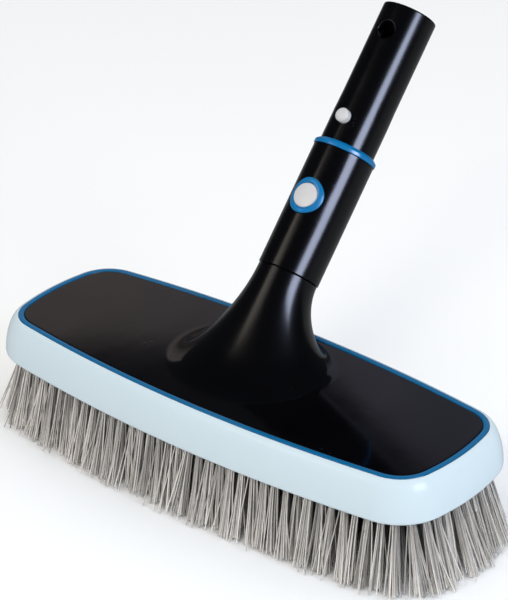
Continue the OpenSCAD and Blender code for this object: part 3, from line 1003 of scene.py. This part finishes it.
def spring():
    """Compression spring with closed ends, made at one fixed length; the real one flattens as the
    lever comes down.
    """
    foot, head = -6.95, 2.55
    coil_r, wire_r = 2.5, 0.4
    turns, per_turn, around = 5, 40, 12
    closed_part, closed_rise = 0.12, 0.06
    count = turns * per_turn
    t = np.linspace(0, 1, count + 1)
    ease = np.clip((t - closed_part) / 0.76, 0, 1)
    climb = closed_rise * t + 0.94 * ease
    height = foot + wire_r + (head - foot - 2 * wire_r) * climb
    turn = 2 * math.pi * turns * t
    b = np.arange(around) * 2 * math.pi / around
    r = coil_r + wire_r * np.cos(b)
    rings = []
    for a, h in zip(turn, height):
        rings.append(handle(r * math.cos(a), h + wire_r * np.sin(b), SPRING_S + r * math.sin(a)))
    skin = Skin()
    skin.capped(rings, rings[0].mean(0), rings[-1].mean(0))
    made = piece("return_coil", skin, STEEL, "brush", ["return_spring"])
    anchor = handle(0.0, foot, SPRING_S) * MM
    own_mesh(made)
    return made


# ---------------------------------------------------------------- build

top_cover()
bumper()
trim_bead()
filaments("bristles_outer", "outer_tufts", 28, 11, 1.0, 0.0)
filaments("bristles_second", "second_tufts", 26, 12, 0.9, 0.9)
filaments("bristles_third", "third_tufts", 24, 13, 0.8, 0.9)
filaments("bristles_fourth", "fourth_tufts", 22, 14, 0.7, 0.9)
filaments("bristles_fifth", "fifth_tufts", 22, 15, 0.7, 0.9)
filaments("bristles_middle", "middle_tufts", 22, 16, 0.7, 0.9)
sleeve()
tube()
collar()
bezel()
button()
lock_pin()
spring()

KEPT = {
    "bristle_block": BLOCK_DARK,
    "tuft_anchors": STEEL,
    "block_screws": STEEL,
    "neck_spigot": MECHANISM_DARK,
    "handle_screw": STEEL,
    "handle_washer": STEEL,
    "tube_dowel": STEEL,
    "mechanism_carrier": MECHANISM_DARK,
    "lever_pivot": STEEL,
    "rocker_lever": WHITE_NYLON,
}
for node, material in KEPT.items():
    carried = frame["nodes"][node]
    for slot in carried.material_slots:
        slot.material = material

# ---------------------------------------------------------------- floor, light and camera


SKYWARD = Vector((0, 0, 1))


def floor():
    """A floor wide enough that its edge stays out of sight, just under the bristle tips."""
    half = 25.0
    below_tips = 0.0002
    mesh = bpy.data.meshes.new("floor")
    work = bmesh.new()
    bmesh.ops.create_grid(work, x_segments=8, y_segments=8, size=half)
    work.to_mesh(mesh)
    work.free()
    mesh.materials.append(floor_white())
    made = bpy.data.objects.new("floor", mesh)
    made.location = (0, 0, -below_tips)
    bpy.context.scene.collection.objects.link(made)


def toward_sky(azimuth, elevation):
    """Unit vector at an azimuth from +X and an elevation, in degrees."""
    a, e = math.radians(azimuth), math.radians(elevation)
    return Vector((math.cos(a) * math.cos(e), math.sin(a) * math.cos(e), math.sin(e)))


def backdrop():
    """A grey screen behind the brush that shows only in glossy surfaces.

    It is warm on the left and cooler on the right, where its top edge rises in a slope, and
    it fades out towards the floor."""
    distance = 1.6
    low, high_left, high_right = -0.6, 0.94, 1.17
    corners = [(-1.0, low), (-1.0, high_left), (0.04, high_left - 0.002)]
    corners += [(0.25, high_right), (1.1, high_right), (1.1, low)]
    mesh = bpy.data.meshes.new("backdrop")
    mesh.from_pydata([(x, y, 0) for x, y in corners], [], [tuple(range(len(corners)))])
    material = bpy.data.materials.new("backdrop_grey")
    material.use_nodes = True
    tree = material.node_tree
    tree.nodes.clear()
    coords = tree.nodes.new("ShaderNodeTexCoord")
    split = tree.nodes.new("ShaderNodeSeparateXYZ")
    cloudy = tree.nodes.new("ShaderNodeTexNoise")
    cloudy.inputs["Scale"].default_value = 7.0
    tree.links.new(coords.outputs["Object"], split.inputs["Vector"])
    tree.links.new(coords.outputs["Object"], cloudy.inputs["Vector"])
    across = map_range(tree, split.outputs["X"], -0.2, 0.2)
    strength = map_range(tree, cloudy.outputs["Fac"], 0.3, 0.7, 0.8, 1.1)
    fade = map_range(tree, split.outputs["Y"], 0.3, 0.82, 0.15)
    level = tree.nodes.new("ShaderNodeMath")
    level.operation = "MULTIPLY"
    tree.links.new(strength, level.inputs[0])
    tree.links.new(fade, level.inputs[1])
    colour = tree.nodes.new("ShaderNodeMix")
    colour.data_type = "RGBA"
    colour.inputs["A"].default_value = (0.58, 0.50, 0.48, 1)
    colour.inputs["B"].default_value = (0.37, 0.37, 0.48, 1)
    tree.links.new(across, colour.inputs["Factor"])
    glow = tree.nodes.new("ShaderNodeEmission")
    tree.links.new(colour.outputs["Result"], glow.inputs["Color"])
    tree.links.new(level.outputs["Value"], glow.inputs["Strength"])
    out = tree.nodes.new("ShaderNodeOutputMaterial")
    tree.links.new(glow.outputs["Emission"], out.inputs["Surface"])
    mesh.materials.append(material)
    made = bpy.data.objects.new("backdrop", mesh)
    away = toward_sky(130, 0)
    side = away.cross(SKYWARD)
    turn = Matrix((side, SKYWARD, side.cross(SKYWARD))).transposed().to_4x4()
    made.matrix_world = Matrix.Translation(away * distance) @ turn
    made.visible_camera = False
    made.visible_diffuse = False
    made.visible_shadow = False
    bpy.context.scene.collection.objects.link(made)


def softbox(name, out, distance, size, radiance, colour=(1, 1, 1), part="highlight"):
    """An area light that looks at the object from a direction, as bright as radiance.

    Its part is a highlight, seen only in glossy surfaces, or a fill, which makes none."""
    target = Vector((0, 0.03, 0.08))
    light = bpy.data.lights.new(name, "AREA")
    light.shape = "RECTANGLE"
    light.size, light.size_y = size
    light.energy = radiance * math.pi * size[0] * size[1]
    light.color = colour
    made = bpy.data.objects.new(name, light)
    side = SKYWARD.cross(out).normalized()
    turn = Matrix((side, out.cross(side), out)).transposed().to_4x4()
    made.matrix_world = Matrix.Translation(target + out * distance) @ turn
    made.visible_camera = False
    made.visible_glossy = part == "highlight"
    made.visible_diffuse = part == "fill"
    bpy.context.scene.collection.objects.link(made)


def world():
    """A sky that lights matt surfaces evenly, is dim in reflections and pale behind the object."""
    made = bpy.data.worlds.new("studio")
    made.use_nodes = True
    tree = made.node_tree
    tree.nodes.clear()
    paths = tree.nodes.new("ShaderNodeLightPath")
    shown = None
    skies = [
        (None, (0.8, 0.87, 1.0), 0.05),
        ("Is Diffuse Ray", (1.0, 1.0, 1.0), 0.8),
        ("Is Camera Ray", (1.0, 1.0, 1.0), 0.97),
    ]
    for ray, colour, strength in skies:
        sky = tree.nodes.new("ShaderNodeBackground")
        sky.inputs["Color"].default_value = (*colour, 1)
        sky.inputs["Strength"].default_value = strength
        if shown is None:
            shown = sky.outputs["Background"]
            continue
        mix = tree.nodes.new("ShaderNodeMixShader")
        tree.links.new(paths.outputs[ray], mix.inputs["Fac"])
        tree.links.new(shown, mix.inputs[1])
        tree.links.new(sky.outputs["Background"], mix.inputs[2])
        shown = mix.outputs["Shader"]
    out = tree.nodes.new("ShaderNodeOutputWorld")
    tree.links.new(shown, out.inputs["Surface"])
    bpy.context.scene.world = made


def camera():
    """The photo's camera: its direction and roll, and its place from the middle of the trim."""
    azimuth, elevation, roll = math.radians(40.41), math.radians(28.21), math.radians(-0.57)
    distance = 1.26634
    aside, above = 0.00487, 0.03344
    toward = Vector(
        (
            math.sin(azimuth) * math.cos(elevation),
            -math.cos(azimuth) * math.cos(elevation),
            math.sin(elevation),
        )
    )
    level = Vector((math.cos(azimuth), math.sin(azimuth), 0))
    upward = toward.cross(level)
    right = level * math.cos(roll) + upward * math.sin(roll)
    up = toward.cross(right)
    lens = bpy.data.cameras.new("camera")
    lens.lens = 150.16
    lens.sensor_width = 36
    lens.clip_start = 0.05
    made = bpy.data.objects.new("camera", lens)
    place = Vector((0, 0, HEAD_H * MM)) + distance * toward + aside * right + above * up
    turn = Matrix((right, up, toward)).transposed().to_4x4()
    made.matrix_world = Matrix.Translation(place) @ turn
    bpy.context.scene.collection.objects.link(made)
    bpy.context.scene.camera = made


COOL = (0.66, 0.74, 1.0)
COOL_SKY = (0.62, 0.78, 1.0)
WARM = (1.0, 0.94, 0.82)
floor()
softbox("right_strip", toward_sky(-9, 24), 1.3, (0.52, 0.55), 22, COOL)
softbox("left_panel", toward_sky(-118, 37), 1.4, (0.66, 0.5), 3.0, WARM)
softbox("overhead_fill", toward_sky(-60, 75), 1.6, (0.8, 0.8), 1.6, part="fill")
softbox("front_fill", toward_sky(-70, 40), 1.7, (0.4, 0.4), 9.0, WARM, part="fill")
softbox("right_fill", toward_sky(-5, 35), 1.5, (0.5, 0.5), 8.0, COOL_SKY, part="fill")
backdrop()
world()
camera()

scene = bpy.context.scene
scene.view_settings.view_transform = "Standard"
